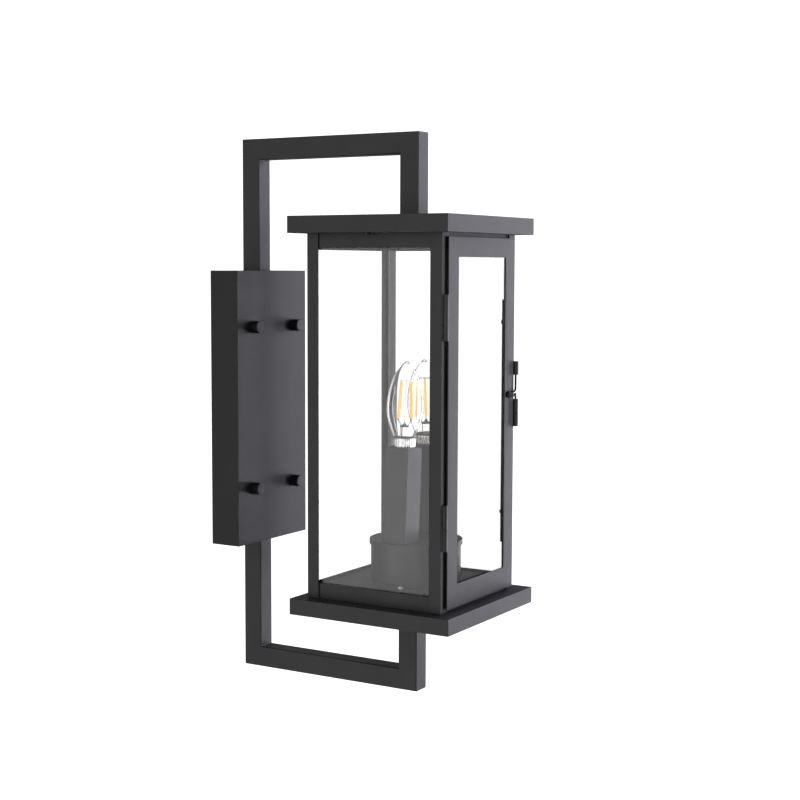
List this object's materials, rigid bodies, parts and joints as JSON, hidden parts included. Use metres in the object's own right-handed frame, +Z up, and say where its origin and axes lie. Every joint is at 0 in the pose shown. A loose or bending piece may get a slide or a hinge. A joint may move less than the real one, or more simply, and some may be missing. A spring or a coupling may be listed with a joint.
{
  "type": "outdoor wall lantern",
  "caption": "Square glazed wall lantern with a hinged front door and candle bulbs, carried on an open loop of square tube from a shallow wall box.",
  "frame": {"origin": "middle of the mounting plate's wall side, on the wall plane", "axes": "+Z up, +Y into the wall, so the lantern stands out towards -Y, +X to the right for someone facing the wall"},
  "size_m": [0.1668, 0.2769, 0.5214],
  "materials": {
    "satin_black": "satin powder coat",
    "hinge_black": "matt black",
    "grey_paint": "satin paint",
    "zinc": "zinc plated",
    "clear_glass": "clear",
    "holder_white": "glazed",
    "bulb_cap": "nickel plated",
    "filament": "phosphor coated"
  },
  "bodies": {
    "lantern_body": {"wall_box": "satin_black", "frame_back_upright": "satin_black", "frame_top_arm": "satin_black", "frame_bottom_arm": "satin_black", "frame_front_upper": "satin_black", "frame_front_lower": "satin_black", "corner_post_front_left": "satin_black", "corner_post_front_right": "satin_black", "corner_post_back_right": "satin_black", "corner_post_back_left": "satin_black", "upper_rail_left": "satin_black", "upper_rail_right": "satin_black", "upper_rail_front": "satin_black", "upper_rail_back": "satin_black", "lower_rail_left": "satin_black", "lower_rail_right": "satin_black", "lower_rail_front": "satin_black", "lower_rail_back": "satin_black", "roof_cap": "satin_black", "roof_soffit": "satin_black", "base_tray": "satin_black", "mounting_plate": "hinge_black", "soffit_screw_left": "hinge_black", "soffit_screw_right": "hinge_black", "hinge_upper_post_leaf": "hinge_black", "hinge_lower_post_leaf": "hinge_black", "floor_pan": "grey_paint", "lamp_cup": "grey_paint", "lamp_cup_lid": "grey_paint", "candle_sleeve_left": "grey_paint", "candle_sleeve_right": "grey_paint", "ground_screw": "zinc", "floor_screw": "zinc", "stud_upper_left": "zinc", "stud_upper_right": "zinc", "stud_lower_left": "zinc", "stud_lower_right": "zinc", "glass_pane_left": "clear_glass", "glass_pane_right": "clear_glass", "glass_pane_back": "clear_glass", "lampholder_left": "holder_white", "lampholder_right": "holder_white"},
    "door": {"door_frame": "satin_black", "door_pane": "clear_glass", "door_glass_strip_left": "hinge_black", "door_glass_strip_right": "hinge_black", "hinge_upper_door_leaf": "hinge_black", "hinge_lower_door_leaf": "hinge_black", "latch_knuckle_plate": "hinge_black"},
    "latch": {"latch_wire": "hinge_black"},
    "bulb_left": {"bulb_cap_left": "bulb_cap", "bulb_glass_left": "clear_glass", "filament_mount_left": "filament"},
    "bulb_right": {"bulb_cap_right": "bulb_cap", "bulb_glass_right": "clear_glass", "filament_mount_right": "filament"},
    "knob_upper_left": {"knob_nut_upper_left": "satin_black"},
    "knob_upper_right": {"knob_nut_upper_right": "satin_black"},
    "knob_lower_left": {"knob_nut_lower_left": "satin_black"},
    "knob_lower_right": {"knob_nut_lower_right": "satin_black"}
  },
  "joints": [
    {"name": "door_swing", "type": "hinge", "parent": "lantern_body", "child": "door", "pos_m": [-0.0675, -0.2646, 0], "axis": [0, 0, -1], "range_deg": [0, 110]},
    {"name": "latch_swing", "type": "hinge", "parent": "door", "child": "latch", "pos_m": [0.0664, -0.2656, 0.0175], "axis": [0, 0, 1], "range_deg": [0, 150]},
    {"name": "bulb_left_unscrew", "type": "slide", "parent": "lantern_body", "child": "bulb_left", "axis": [0.0663, 0, 0.9978], "range_m": [0, 0.017]},
    {"name": "bulb_right_unscrew", "type": "slide", "parent": "lantern_body", "child": "bulb_right", "axis": [-0.0663, 0, 0.9978], "range_m": [0, 0.017]},
    {"name": "knob_upper_left_turn", "type": "hinge", "parent": "lantern_body", "child": "knob_upper_left", "pos_m": [-0.0337, -0.038, 0.0783], "axis": [0, -1, 0], "continuous": true},
    {"name": "knob_upper_right_turn", "type": "hinge", "parent": "lantern_body", "child": "knob_upper_right", "pos_m": [0.0337, -0.038, 0.0783], "axis": [0, -1, 0], "continuous": true},
    {"name": "knob_lower_left_turn", "type": "hinge", "parent": "lantern_body", "child": "knob_lower_left", "pos_m": [-0.0337, -0.038, -0.0783], "axis": [0, -1, 0], "continuous": true},
    {"name": "knob_lower_right_turn", "type": "hinge", "parent": "lantern_body", "child": "knob_lower_right", "pos_m": [0.0337, -0.038, -0.0783], "axis": [0, -1, 0], "continuous": true}
  ]
}
